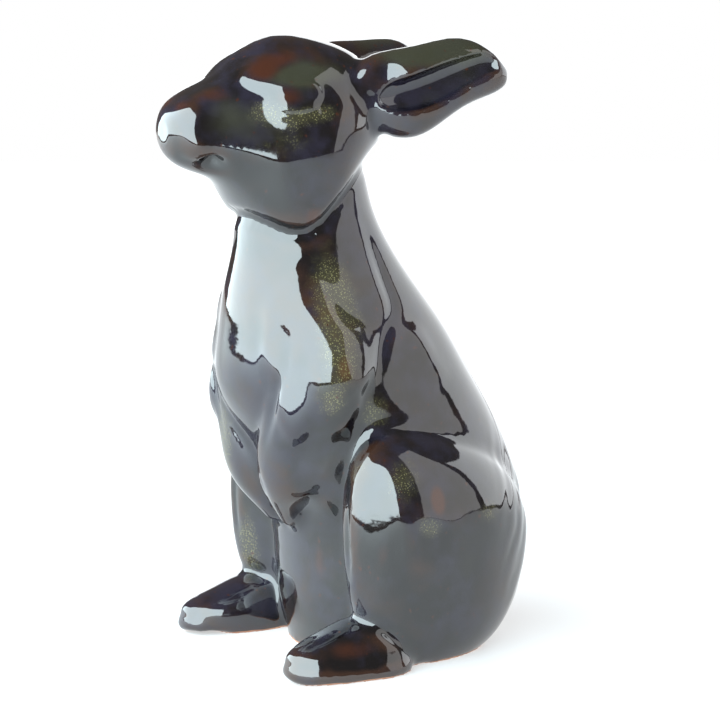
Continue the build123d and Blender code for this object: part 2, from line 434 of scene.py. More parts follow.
class Shade:
    """A value socket that can be used in plain arithmetic."""

    def __init__(self, tree: NodeTree, socket: NodeSocket) -> None:
        """Keeps the tree and the socket."""
        self.tree = tree
        self.socket = socket

    def maths(self, operation: str, *others: "Shade | float") -> "Shade":
        """Adds a Math node on this and other values.

        Args:
            operation: what it does.
            others: its further values.

        Returns:
            Its result.
        """
        inputs = dict(enumerate((self, *others)))
        node = add_node(self.tree, "ShaderNodeMath", inputs, operation=operation)
        return Shade(self.tree, node.outputs[0])

    def __add__(self, other: "Shade | float") -> "Shade":
        """Adds."""
        return self.maths("ADD", other)

    __radd__ = __add__

    def __sub__(self, other: "Shade | float") -> "Shade":
        """Subtracts."""
        return self.maths("SUBTRACT", other)

    def __rsub__(self, other: float) -> "Shade":
        """Subtracts from a number."""
        return self.maths("MULTIPLY_ADD", -1.0, other)

    def __mul__(self, other: "Shade | float") -> "Shade":
        """Multiplies."""
        return self.maths("MULTIPLY", other)

    def between(self, low: float, high: float) -> "Shade":
        """Rises smoothly.

        Args:
            low: where it is 0.
            high: where it is 1.

        Returns:
            The mask.
        """
        inputs = {"Value": self, "From Min": low, "From Max": high}
        node = add_node(self.tree, "ShaderNodeMapRange", inputs, interpolation_type="SMOOTHSTEP")
        return Shade(self.tree, node.outputs["Result"])


def feed(tree: NodeTree, socket: NodeSocket, value: object) -> None:
    """Links or sets one socket.

    Args:
        tree: the nodes that it is in.
        socket: the input.
        value: a Shade, another socket, a colour or a plain value.
    """
    if isinstance(value, Shade):
        value = value.socket
    if isinstance(value, NodeSocket):
        tree.links.new(value, socket)
    elif socket.type == "RGBA":
        socket.default_value = (*value, 1.0)
    else:
        socket.default_value = value


def add_node(tree: NodeTree, kind: str, inputs: dict | None = None, **settings: object) -> Node:
    """Adds a node.

    Args:
        tree: where it goes.
        kind: its type.
        inputs: by socket name or number, what each is linked or set to.
        settings: its own settings, set first.

    Returns:
        The node.
    """
    node = tree.nodes.new(kind)
    for key, value in settings.items():
        setattr(node, key, value)
    for key, value in (inputs or {}).items():
        feed(tree, node.inputs[key], value)
    return node


class Finish:
    """Builds one material's nodes."""

    def __init__(self, name: str) -> None:
        """Starts a material with a Principled shader.

        Args:
            name: its name.
        """
        self.material = bpy.data.materials.new(name)
        self.material.use_nodes = True
        self.tree = self.material.node_tree
        self.shader = next(n for n in self.tree.nodes if n.type == "BSDF_PRINCIPLED")
        self.place = add_node(self.tree, "ShaderNodeTexCoord").outputs["Object"]

    def value(self, output: str, kind: str, inputs: dict | None = None, **settings: object) -> Shade:
        """Adds a node and returns one of its outputs."""
        return Shade(self.tree, add_node(self.tree, kind, inputs, **settings).outputs[output])

    def noise(self, size: float, detail: float, seed: float) -> Shade:
        """Returns noise around 0.5: its cells' size in millimetres, its finer layers, its seed."""
        inputs = {"Vector": self.place, "W": seed, "Scale": 1 / (size * MM), "Detail": detail}
        return self.value("Fac", "ShaderNodeTexNoise", inputs, noise_dimensions="4D")

    def attribute(self, name: str) -> Shade:
        """Reads a value kept on the mesh."""
        return self.value("Fac", "ShaderNodeAttribute", attribute_name=name)

    def height(self) -> Shade:
        """Reads the height above the ground, in metres."""
        return self.value("Z", "ShaderNodeSeparateXYZ", {"Vector": self.place})

    def blend(self, mask: Shade, low: object, high: object) -> NodeSocket:
        """Returns a mix of two colours or their sockets, the first where the mask is 0."""
        node = add_node(self.tree, "ShaderNodeMix", {0: mask, 6: low, 7: high}, data_type="RGBA")
        return node.outputs[2]

    def dress(self, looks: dict[str, object]) -> None:
        """Sets or links the shader's named inputs."""
        for key, value in looks.items():
            feed(self.tree, self.shader.inputs[key], value)

    def bump(self, height: Shade, distance: float, share: float) -> None:
        """Feeds a share of a height, of which 1 is a distance in millimetres, to the normal."""
        inputs = {"Strength": share, "Distance": distance * MM, "Height": height}
        self.dress({"Normal": add_node(self.tree, "ShaderNodeBump", inputs).outputs["Normal"]})


@dataclass(frozen=True)
class BareClay:
    """Fired red clay with no glaze, slightly sandy. Grain sizes are in millimetres."""

    light: Colour = (0.46, 0.21, 0.11)
    dark: Colour = (0.30, 0.12, 0.065)
    roughness: float = 0.85
    sand: float = 0.6
    sand_height: float = 0.12
    sand_share: float = 0.6

    def colour(self, finish: Finish) -> NodeSocket:
        """Returns the clay's speckled colour, made with the nodes of a finish."""
        tone = finish.noise(6, 3.0, 5.0) * 0.6 + finish.noise(0.8, 1.0, 9.0) * 0.4
        return finish.blend(tone.between(0.35, 0.65), self.dark, self.light)

    def build(self) -> Material:
        """Returns the material."""
        finish = Finish("bare_clay")
        finish.dress({"Base Color": self.colour(finish), "Roughness": self.roughness})
        finish.bump(finish.noise(self.sand, 2.0, 14.0), self.sand_height, self.sand_share)
        return finish.material


@dataclass(frozen=True)
class Glaze:
    """A thick, glossy glaze: near black in pools, brown where it is thin, with gold crystals.

    It is wiped off the foot up to wipe, in metres. grain and ripple are in millimetres.
    """

    deep: Colour = (0.0030, 0.0024, 0.0026)
    brown: Colour = (0.0230, 0.0100, 0.0062)
    olive: Colour = (0.0260, 0.0260, 0.0150)
    gold: Colour = (0.150, 0.135, 0.060)
    rust: Colour = (0.036, 0.0100, 0.0045)
    violet: Colour = (0.0120, 0.0105, 0.0190)
    clay: BareClay = BareClay()
    wipe: float = 0.0006
    grain: float = 0.7
    ripple: float = 0.10
    ripple_share: float = 0.5
    roughness: float = 0.05
    refraction: float = 1.75

    def body(self, finish: Finish) -> NodeSocket:
        """Makes the colour of the melted glass itself: pools, runs, milk and rusty breaks.

        Args:
            finish: the material that it is made in.

        Returns:
            The colour's socket.
        """
        cloud = finish.noise(11, 3.0, 7.0)
        thin = finish.attribute("thin") - 0.5
        runs = finish.noise(34, 1.5, 3.0) * 0.6 + cloud * 0.4 + thin * 1.1
        milk = finish.noise(6, 4.0, 60.0) * 0.5 + finish.noise(24, 1.0, 61.0) * 0.5
        haze = finish.noise(19, 2.0, 12.0) * 0.7 + finish.attribute(Tone.OLIVE.value) * 0.45
        breaks = finish.attribute(Tone.RUST.value) * (0.35 + cloud * 1.2)
        glass = self.deep
        for amount, low, high, share, tone in (
            (runs, 0.50, 0.74, 1.0, self.brown),
            (milk, 0.42, 0.62, 0.8, self.violet),
            (haze, 0.40, 0.72, 0.85, self.olive),
            (breaks, 0.22, 0.80, 1.0, self.rust),
        ):
            glass = finish.blend(amount.between(low, high) * share, glass, tone)
        return glass

    def crystals(self, finish: Finish) -> Shade:
        """Makes the mask of the gold crystals, a haze with fine grains in it.

        Args:
            finish: the material that it is made in.

        Returns:
            The mask.
        """
        inputs = {"Vector": finish.place, "Scale": 1 / (self.grain * MM)}
        spot = 1 - finish.value("Distance", "ShaderNodeTexVoronoi", inputs).between(0.12, 0.42)
        drift = (finish.noise(15, 2.0, 21.0) - 0.5) * 0.9 + (finish.noise(2.2, 2.0, 4.0) - 0.5) * 0.5
        grown = (finish.attribute(Tone.GOLD.value) * 0.9 + drift).between(0.18, 0.95)
        return grown * (0.16 + spot * 0.74)

    def build(self) -> Material:
        """Returns the material."""
        finish = Finish("glaze")
        crystals = self.crystals(finish)
        glass = finish.blend(crystals, self.body(finish), self.gold)
        fleck = finish.noise(1.6, 0.0, 33.0).between(0.76, 0.80)
        speckled = finish.blend(fleck * 0.8, glass, self.rust)
        wander = (finish.noise(9, 2.0, 40.0) - 0.5) * (self.wipe * 2)
        bare = 1 - (finish.height() + wander).between(self.wipe * 0.7, self.wipe * 1.3)
        finish.dress({
            "Base Color": finish.blend(bare, speckled, self.clay.colour(finish)),
            "Roughness": self.roughness + bare * 0.7 + crystals * 0.06,
            "IOR": self.refraction,
        })
        wave = finish.noise(7, 2.0, 50.0) * 0.8 + finish.noise(1.8, 1.0, 51.0) * 0.2
        finish.bump(wave, self.ripple, self.ripple_share)
        return finish.material


@dataclass
class Blank:
    """The whole figure in soft clay, joined from the CAD pieces, in millimetres.

    plug is the radius of the wad that keeps the vent closed while the pieces are joined.
    The throat's mark is full at its front, a place along Y, and has run out at its back.
    """

    voxel: float = 0.8
    plug: float = 6.0
    slab: float = 5.0
    vent: tuple[float, float] = (0.0, 12.27)
    seam_rounds: int = 45
    seam_spread: int = 9
    seam_hold: float = 0.97
    seam_growth: float = 1.25
    all_rounds: int = 26
    eye_share: float = 0.22
    throat: tuple[str, str] = ("head", "torso")
    throat_width: float = 2.3
    throat_depth: float = 1.2
    throat_front: float = -20.0
    throat_back: float = -4.0
    nodes: list[str] = field(default_factory=lambda: sorted(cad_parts))

    def join(self) -> Clay:
        """Returns the closed skin round all the CAD pieces, inside and outside."""
        joined = bmesh.new()
        for name in self.nodes:
            joined.from_mesh(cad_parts[name].data)
        bmesh.ops.remove_doubles(joined, verts=joined.verts, dist=1e-7)
        radius = self.plug * MM
        wad = bmesh.ops.create_cone(
            joined, cap_ends=True, segments=24, radius1=radius, radius2=radius, depth=self.slab * MM
        )
        for vert in wad["verts"]:
            vert.co += Vector((*self.vent, self.slab / 2)) * MM
        mesh = bpy.data.meshes.new("blank")
        joined.to_mesh(mesh)
        joined.free()
        blank = add_object("blank", mesh)
        remesh = blank.modifiers.new("remesh", "REMESH")
        remesh.mode = "VOXEL"
        remesh.voxel_size = self.voxel * MM
        skin = Clay.from_mesh(shaped(blank))
        bpy.data.objects.remove(blank)
        return skin

    def outer_only(self, clay: Clay) -> Clay:
        """Keeps the outside and drops the hollow's own surface.

        Args:
            clay: the skin, inside and outside.

        Returns:
            The outside.
        """
        label = islands(len(clay.points), clay.web().pairs)
        kept = label == np.bincount(label).argmax()
        number = np.cumsum(kept) - 1
        LOG.info("skin: %d of %d points are outside", kept.sum(), len(kept))
        return Clay(clay.points[kept], number[clay.faces[kept[clay.faces[:, 0]]]])

    def mark_owners(self, clay: Clay) -> None:
        """Finds which CAD piece each point of the skin belongs to, as its number in nodes.

        Args:
            clay: the skin.
        """
        places = []
        faces = []
        piece = []
        for index, name in enumerate(self.nodes):
            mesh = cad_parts[name].data
            start = len(places)
            places.extend(v.co.copy() for v in mesh.vertices)
            faces.extend([start + v for v in poly.vertices] for poly in mesh.polygons)
            piece.extend([index] * len(mesh.polygons))
        tree = BVHTree.FromPolygons(places, faces)
        clay.owner = np.array([piece[tree.find_nearest(Vector(p))[2]] for p in clay.points * MM])

    def wet(self, clay: Clay) -> None:
        """Rounds the joints between the pieces and takes the marks off the rest.

        Args:
            clay: the skin.
        """
        web = clay.web()
        seam = np.zeros((len(clay.points), 1))
        seam[web.across(clay.owner).ravel()] = 1.0
        for _ in range(self.seam_spread):
            seam = np.maximum(seam * self.seam_hold, web.mean(seam) * self.seam_growth).clip(0, 1)
        eyes = [k for k, name in enumerate(self.nodes) if name.endswith("_eye")]
        calm = np.where(np.isin(clay.owner, eyes), self.eye_share, 1.0)
        clay.relax(self.seam_rounds, seam[:, 0] * calm, keep=False)
        clay.relax(self.all_rounds)

    def scribe(self, clay: Clay) -> None:
        """Draws the tool along the throat.

        Args:
            clay: the skin.
        """
        meeting = clay.web().across(clay.owner)
        both = [self.nodes.index(name) for name in self.throat]
        line = np.unique(meeting[np.isin(clay.owner[meeting], both).all(axis=1)])
        tree = KDTree(len(line))
        for point in line:
            tree.insert(clay.points[point], int(point))
        tree.balance()
        near = clay.near(clay.points[line], 3 * self.throat_width)
        away = np.array([tree.find(clay.points[k])[2] for k in near])
        ramp = (clay.points[near, 1] - self.throat_back) / (self.throat_front - self.throat_back)
        push = self.throat_depth * np.exp(-((away / self.throat_width) ** 2)) * ease(ramp.clip(0, 1))
        clay.points[near] -= clay.normals()[near] * push[:, None]


@dataclass(frozen=True)
class Head:
    """What the modelling tool and the glaze leave on the head, ears and throat, in millimetres."""

    corner: float = 0.36
    dome: float = 1.5
    mouth: float = 4.6
    ear_root: float = 0.5
    lips: float = 0.4
    fine: float = 2.3

    def marks(self) -> tuple[Mark, ...]:
        """Returns what the tools leave, in the order of work."""
        return (
            Dab("mouth corner", (10.4, -58, 169.2), (3.6, 3.6, 2.7), -self.mouth),
            Dab("muzzle side", (11.3, -64.5, 180), (5, 4, 9), 1.9),
            Dab("cheek rear", (22.5, -20, 170), (7, 9, 8), 1),
            Paddle("brow side", (14.6, -46.5, 189.6), 73, 30, (12, 21, 7), 0.95),
            Paddle("ear base", (20.5, -2, 195), 85, -3, (8, 8, 8), 0.7),
            Paddle("cheek", (16.65, -45, 182.5), 73, 8, (13, 32, 12), 0.95),
            Paddle("brow", (15, -36, 199), 77, 38, (9, 16, 6), 0.8),
            Paddle("eye", (19.8, -28.5, 188.5), 81, 15, (8, 10.5, 8), 0.97),
            Stroke("eye dome", 4.6, -self.dome, ((20, -34, 189), (20.8, -29, 189.5)), fade=0),
            Stroke("eye corner", 2.8, self.corner, (
                (21.9, -25.2, 185.2), (21.5, -20.4, 186.9), (20.6, -16.8, 189.9),
            )),
            Stroke("lips", self.fine, self.lips, (
                (3.1, -69, 172.9), (6.9, -65.2, 171.1), (8.8, -60.7, 169.7), (10.8, -57.1, 170),
            )),
            Stroke("ear root", 3, self.ear_root, (
                (22.4, -3.6, 192.1), (21.7, -4, 189.1), (21.7, -2.8, 185.5), (20.4, -2.8, 182.7),
                (20.2, -6.5, 180.9),
            )),
        )

    def patches(self) -> tuple[Patch, ...]:
        """Returns where the glaze turns gold, olive or rusty."""
        return (
            Patch(Tone.GOLD, (20.6, -35, 184.6), (6, 11, 3.4)),
            Patch(Tone.GOLD, (17.1, -43.4, 187.6), (6, 5, 4), 0.7),
            Patch(Tone.GOLD, (21.8, -22.5, 185.7), (5, 5, 3), 0.7),
            Patch(Tone.GOLD, (20.6, -36.9, 176.5), (8, 12, 6), 0.40),
            Patch(Tone.OLIVE, (18.4, -30, 197.5), (7, 12, 3.5)),
            Patch(Tone.OLIVE, (14.4, -52, 184.6), (10, 12, 8), 0.7),
            Patch(Tone.OLIVE, (23.6, 13.2, 204), (8, 14, 5)),
            Patch(Tone.OLIVE, (26.6, 31.1, 204.9), (8, 12, 5), 0.9),
            Patch(Tone.RUST, (13.7, -33.1, 203.1), (7, 9, 3.5), 0.6),
            Patch(Tone.RUST, (9, -56, 191.5), (6, 11, 3), 0.5),
            Patch(Tone.RUST, (13.4, -41.2, 198.9), (5, 6, 4), 0.8),
            Patch(Tone.RUST, (5.1, -66.2, 187.8), (4, 4, 3), 0.7),
            Patch(Tone.RUST, (22.2, -36.7, 191.5), (4, 7, 4), 1.2),
            Patch(Tone.RUST, (10.1, -58.5, 170), (3, 3, 3), 0.6),
        )


@dataclass(frozen=True)
class Forequarters:
    """What the modelling tool and the glaze leave on the chest, shoulders and forelegs."""

    shoulder: float = 0.8
    elbow: float = 0.7
    groove: float = 1.7
    paw: float = 0.45
    flank: float = 0.45
    fill: float = 1.5

    def marks(self) -> tuple[Mark, ...]:
        """Returns what the tools leave, in the order of work."""
        return (
            Dab("breast", (14, -44, 92), (18, 12, 18), 1.6),
            Paddle("forearm", (27, -37.6, 94), 52, 9, (6, 6, 18), 0.8),
            Paddle("breast side", (21.6, -40, 108), 42, 12, (7, 6, 10), 1),
            Paddle("shoulder side", (25, -13, 125.5), 92, 21, (9, 11, 20), 0.8),
            Paddle("upper arm", (32.5, -14, 108), 100, 14, (8, 9, 11), 0.7),
            Paddle("paw", (25.6, -26.4, 69), 60, -7, (12, 12, 20), 0.9),
            Paddle("flank", (31.5, 2, 100), 92, 10, (8, 12, 16), 0.85),
            Stroke("shoulder", 2.6, self.shoulder, (
                (17.2, -7.8, 155.6), (17.7, -2.6, 141.9), (21.6, 0.5, 128), (24.8, 1.2, 118.9),
                (29.6, -5.4, 109.4), (31, -10.1, 98), (34.9, -20.4, 88.9),
            ), fade=0.4),
            Stroke("flank ridge", 4.5, -self.flank, (
                (25, 7.8, 115.7), (26.9, 11.5, 108.9), (28.5, 15.6, 100.5), (30.3, 19.8, 90.8),
            )),
            Stroke("elbow", 3.4, self.elbow, (
                (31.4, -9.6, 96), (35.5, -19.2, 92.2), (34.1, -24.5, 85.9), (31.6, -27.6, 80.4),
            )),
            Stroke("chest side", 2.2, self.groove, (
                (20.6, -38.4, 119), (23.2, -38.5, 110.5), (22.7, -39, 100.5), (20.2, -40.6, 90.2),
                (15.3, -40.9, 79.4), (12.2, -40.7, 68.6),
            ), fade=0.5),
            Stroke("inner paw", 2.4, self.paw, (
                (4.6, -38.5, 78.9), (8.4, -39.3, 62), (5, -33.9, 52.4), (6, -27.9, 45),
            ), Hand.LEFT, 0.4),
            Stroke("forearm fill", 6.5, -self.fill, (
                (35, -20, 88), (31.5, -26.5, 80), (26.5, -27.5, 70), (21, -26.5, 61),
            )),
        )

    def patches(self) -> tuple[Patch, ...]:
        """Returns where the glaze turns gold or rusty."""
        return (
            Patch(Tone.GOLD, (23.7, -21.1, 127.3), (7, 7, 13), 1.1),
            Patch(Tone.GOLD, (31.1, -24.2, 115.3), (7, 7, 10), 1.1),
            Patch(Tone.GOLD, (34.9, -24.2, 104.3), (6, 7, 8), 0.9),
            Patch(Tone.GOLD, (34.8, -26.8, 91.2), (5, 5, 5), 0.9),
            Patch(Tone.GOLD, (32, -9.6, 86.6), (6, 6, 6), 0.9),
            Patch(Tone.GOLD, (29.8, -14.1, 114.2), (5, 6, 12), 0.45),
            Patch(Tone.GOLD, (13.7, -41, 72.6), (5, 4, 14), 1, Hand.RIGHT),
            Patch(Tone.RUST, (35.4, -23.3, 103.2), (3, 3, 5), 0.9),
            Patch(Tone.RUST, (20.5, -25.6, 151), (4, 4, 4), 0.9),
            Patch(Tone.RUST, (28, -24, 120), (3, 3, 9), 0.5),
        )


@dataclass(frozen=True)
class Hindquarters:
    """What the modelling tool and the glaze leave on the haunches, feet and rump."""

    knee: float = 1.3
    ankle: float = 1.3
    welt: float = 2.2
    toe: float = 0.5

    def marks(self) -> tuple[Mark, ...]:
        """Returns what the tools leave, in the order of work."""
        return (
            Dab("knee", (43, -19, 52), (7, 8, 20), -1.6),
            Paddle("haunch front", (43.5, -17, 58), 62, 9, (7, 8, 16), 0.6),
            Stroke("knee", 2.2, self.knee, (
                (28.6, -18.4, 70.1), (36.2, -24.6, 59.5), (37.6, -25.2, 43), (36.6, -23.2, 28.3),
            )),
            Stroke("ankle", 2, self.ankle, (
                (16.9, -17.9, 18.2), (32.1, -18.6, 19), (45.8, -11.6, 14.3), (47.4, -2.7, 6.5),
            )),
            Stroke("foot welt", 3, -self.welt, (
                (46, 2, 2), (47, -12, 2), (46.5, -26, 2), (43.5, -38, 2),
                (38, -45, 2), (31, -45.5, 2), (25.5, -39, 2),
            ), fade=0.1),
            Stroke("inner toe", 1.3, self.toe, (
                (31, -45.4, 4.5), (31.3, -42.5, 8.5), (31.8, -36, 12.5),
            )),
            Stroke("outer toe", 1.3, self.toe, (
                (38.6, -45, 4.5), (38.6, -42, 8), (38.6, -36, 12),
            )),
        )

    def patches(self) -> tuple[Patch, ...]:
        """Returns where the glaze turns gold or rusty."""
        return (
            Patch(Tone.GOLD, (46.3, -8.1, 66.1), (6, 8, 8), 0.8),
            Patch(Tone.GOLD, (49.6, 0.8, 49.5), (5, 5, 4)),
            Patch(Tone.GOLD, (45.3, 27.8, 50.7), (6, 7, 4), 0.8),
            Patch(Tone.GOLD, (37.8, -21, 69.4), (5, 6, 7), 0.7),
            Patch(Tone.GOLD, (33.2, -21.2, 31.1), (5, 5, 16), 0.9, Hand.RIGHT),
            Patch(Tone.RUST, (48.3, 4.8, 58.2), (4, 3, 5), 1.1),
            Patch(Tone.RUST, (14.4, -20.4, 34), (3, 3, 9), 0.5),
            Patch(Tone.RUST, (46.6, -15.7, 41.9), (3, 3, 5), 0.5),
            Patch(Tone.RUST, (44.7, -27.3, 10.9), (6, 10, 4), 0.6),
        )


@dataclass(frozen=True)
class FurFlutes:
    """Slanted, shallow flutes that stand for fur on the rump, in millimetres.

    soft is where they run out, in squares of the reach.
    """

    pitch: float = 7.0
    depth: float = 0.12
    lean: float = 0.40
    wander: float = 6.0
    cloud: float = 30.0
    middle: float = 14.0
    centre: Point = (31.0, 50.0, 44.0)
    reach: Point = (24.0, 17.0, 34.0)
    soft: tuple[float, float] = (0.15, 1.6)

    def tree(self, material: Material) -> NodeTree:
        """Builds the nodes that push the skin in and out.

        Args:
            material: what the result is dressed in.

        Returns:
            The tree, with the pitch and the depth as its inputs.
        """
        tree = bpy.data.node_groups.new("fur_flutes", "GeometryNodeTree")
        for name, kind, way in (
            ("Skin", "NodeSocketGeometry", "INPUT"),
            ("Pitch", "NodeSocketFloat", "INPUT"),
            ("Depth", "NodeSocketFloat", "INPUT"),
            ("Skin", "NodeSocketGeometry", "OUTPUT"),
        ):
            tree.interface.new_socket(name=name, socket_type=kind, in_out=way)
        skin, pitch, depth = add_node(tree, "NodeGroupInput").outputs[:3]
        here = add_node(tree, "GeometryNodeInputPosition").outputs[0]
        place = add_node(tree, "ShaderNodeSeparateXYZ", {0: here})
        side, along, up = (Shade(tree, place.outputs[axis]) * (1 / MM) for axis in "XYZ")
        side = side.maths("ABSOLUTE")
        round_about = side.maths("ARCTAN2", along - self.middle) * self.reach[1] * 2
        cloud = add_node(tree, "ShaderNodeTexNoise", {"Scale": 1 / (self.cloud * MM)})
        stray = (Shade(tree, cloud.outputs["Fac"]) - 0.5) * (self.wander * 2)
        way_on = (round_about + up * self.lean + stray) * (2 * math.pi)
        wave = way_on.maths("DIVIDE", Shade(tree, pitch)).maths("SINE")
        away = 0.0
        for value, centre, reach in zip((side, along, up), self.centre, self.reach):
            offset = (value - centre) * (1 / reach)
            away = offset * offset + away
        push = wave * Shade(tree, depth) * (1 - away.between(*self.soft)) * MM
        out = add_node(tree, "GeometryNodeInputNormal").outputs[0]
        shift = add_node(tree, "ShaderNodeVectorMath", {0: out, "Scale": push}, operation="SCALE")
        moved = add_node(tree, "GeometryNodeSetPosition", {0: skin, "Offset": shift.outputs[0]})
        real = add_node(tree, "GeometryNodeRealizeInstances", {0: moved.outputs[0]})
        inputs = {0: real.outputs[0], "Material": material}
        dressed = add_node(tree, "GeometryNodeSetMaterial", inputs)
        add_node(tree, "NodeGroupOutput", {0: dressed.outputs[0]})
        return tree

    def press(self, clay: Clay, material: Material) -> None:
        """Presses the flutes into the skin.

        Args:
            clay: the skin.
            material: what it is dressed in.
        """
        skin = add_object("fluted", mesh_of("fluted", clay.points, clay.faces))
        flutes = skin.modifiers.new("flutes", "NODES")
        flutes.node_group = self.tree(material)
        sizes = {"Pitch": self.pitch, "Depth": self.depth}
        for item in flutes.node_group.interface.items_tree:
            if item.in_out == "INPUT" and item.name in sizes:
                flutes[item.identifier] = sizes[item.name]
        clay.points = Clay.from_mesh(shaped(skin)).points
        bpy.data.objects.remove(skin)


@dataclass
class Figure:
    """The dressed figurine: the skin, its tool marks and the pieces it is cut into.

    In millimetres, lip is how far an edge is turned in, and ground and wiped are the
    heights under which a point is set down and a face is bare.
    """

    blank: Blank = field(default_factory=Blank)
    parts: tuple[Head | Forequarters | Hindquarters, ...] = (Head(), Forequarters(), Hindquarters())
    flutes: FurFlutes = FurFlutes()
    lip: float = 1.6
    wiped: float = 0.02
    ground: float = 0.35
    vent_radius: float = 4.5
    vent_depth: float = 1.0
    last_rounds: int = 6
    thin_rounds: int = 8
    thin_gain: float = 9.0

    def model(self, glaze: Material) -> Clay:
        """Models the skin.

        Args:
            glaze: the finish that the flutes' nodes set.

        Returns:
            The finished skin.
        """
        clay = self.blank.outer_only(self.blank.join())
        self.blank.mark_owners(clay)
        self.blank.wet(clay)
        self.blank.scribe(clay)
        normals = clay.normals()
        for mark in (mark for part in self.parts for mark in part.marks()):
            mark.press(clay, normals)
            LOG.debug("%s is pressed", mark.name)
        clay.relax(self.last_rounds)
        self.flutes.press(clay, glaze)
        clay.points[clay.points[:, 2] < self.ground, 2] = 0.0
        return clay

    def thinness(self, clay: Clay) -> Array:
        """Says where the glaze runs thin, on edges and crests.

        Args:
            clay: the skin.

        Returns:
            A value for each point, 0.5 on flat parts and more on crests.
        """
        web = clay.web()
        bend = ((clay.points - web.mean(clay.points)) * clay.normals()).sum(axis=1)[:, None]
        for _ in range(self.thin_rounds):
            bend = web.mean(bend)
        return (0.5 + bend[:, 0] * self.thin_gain).clip(0, 1)

    def tones(self, points: Array) -> dict[str, Array]:
        """Returns for each tone's name how strong it is at each of the points."""
        patches = [patch for part in self.parts for patch in part.patches()]
        return {tone.value: sum(p.over(points) for p in patches if p.tone is tone) for tone in Tone}

    def pieces(self, finishes: dict[str, Material]) -> list[Object]:
        """Cuts the skin into its pieces and dresses each one.

        Args:
            finishes: by slot, the materials.

        Returns:
            The pieces.
        """
        clay = self.model(finishes["glaze"])
        normals = clay.normals()
        looks = {"thin": self.thinness(clay)} | self.tones(clay.points)
        votes = np.sort(clay.owner[clay.faces], axis=1)
        of_face = np.where(votes[:, 1] == votes[:, 2], votes[:, 1], votes[:, 0])
        made = []
        for index, name in enumerate(self.blank.nodes):
            faces = clay.faces[of_face == index]
            if name == "base_slab":
                faces = self.open_vent(clay, faces)
            mesh = self.closed(name, clay, faces, normals, looks)
            made.append(self.dressed(mesh, finishes))
        return made

    def open_vent(self, clay: Clay, faces: Array) -> Array:
        """Leaves the vent hole open in the base.

        Args:
            clay: the skin.
            faces: the base's faces.

        Returns:
            The faces without those over the hole.
        """
        middle = clay.points[faces].mean(axis=1)
        away = np.linalg.norm(middle[:, :2] - self.blank.vent, axis=1)
        hole = (away < self.vent_radius) & (middle[:, 2] < self.vent_depth)
        edge = np.intersect1d(faces[hole], faces[~hole])
        spoke = clay.points[edge, :2] - self.blank.vent
        spoke /= np.linalg.norm(spoke, axis=1)[:, None]
        clay.points[edge, :2] = self.blank.vent + spoke * self.vent_radius
        return faces[~hole]

    def closed(
        self, name: str, clay: Clay, faces: Array, normals: Array, looks: dict[str, Array]
    ) -> Mesh:
        """Cuts one piece out of the skin, turns its edge in and closes it behind.

        The slab is closed between its edge and its vent hole, which stays open.

        Args:
            name: the CAD node that the piece stands for.
            clay: the skin.
            faces: the piece's faces.
            normals: the skin's normals.
            looks: by name, the glaze's attributes at each point of the skin.

        Returns:
            The closed mesh.
        """
        used = np.unique(faces)
        count = len(used)
        number = np.full(len(clay.points), -1)
        number[used] = np.arange(count)
        local = number[faces]
        ways = sides(local)
        rim = ways[~np.isin(ways @ (count, 1), ways @ (1, count))]
        turned = np.unique(rim)
        inner = np.full(count, -1)
        inner[turned] = count + np.arange(len(turned))
        lip = np.stack([rim[:, 1], rim[:, 0], inner[rim[:, 0]], inner[rim[:, 1]]], axis=1)
        vented = name == "base_slab"
        rows = np.concatenate([used, used[turned]])
        outward = normals[rows]
        points = clay.points[rows]
        points[count:] -= outward[count:] * (self.blank.slab if vented else self.lip)
        caps = None
        spare = 0
        if not vented:
            loops, member = np.unique(islands(count, rim)[rim[:, 0]], return_inverse=True)
            spare = len(loops)
            middles = [points[inner[np.unique(rim[member == k])]].mean(axis=0) for k in range(spare)]
            caps = np.stack([inner[rim[:, 1]], inner[rim[:, 0]], len(points) + member], axis=1)
            points = np.vstack([points, middles])
            outward = np.vstack([outward, np.tile((0.0, 0.0, 1.0), (spare, 1))])
        mesh = mesh_of(name + "_skin", points, np.vstack([local, lip]), caps)
        if vented:
            bridge(mesh)
        for key, values in looks.items():
            layer = mesh.attributes.new(key, "FLOAT", "POINT")
            layer.data.foreach_set("value", np.pad(values[rows], (0, spare)))
        mesh.normals_split_custom_set_from_vertices(outward)
        return mesh

    def dressed(self, mesh: Mesh, finishes: dict[str, Material]) -> Object:
        """Glazes one piece, but for what is flat on the ground.

        Args:
            mesh: the piece's mesh.
            finishes: the glaze and the bare clay.

        Returns:
            The piece.
        """
        mesh.materials.append(finishes["glaze"])
        wiped = (mesh_heights(mesh) < self.wiped).astype(np.int32)
        if wiped.any():
            mesh.materials.append(finishes["bare_clay"])
            mesh.polygons.foreach_set("material_index", wiped)
        piece = add_object(mesh.name, mesh)
        LOG.info("%s: %d faces", piece.name, len(mesh.polygons))
        return piece


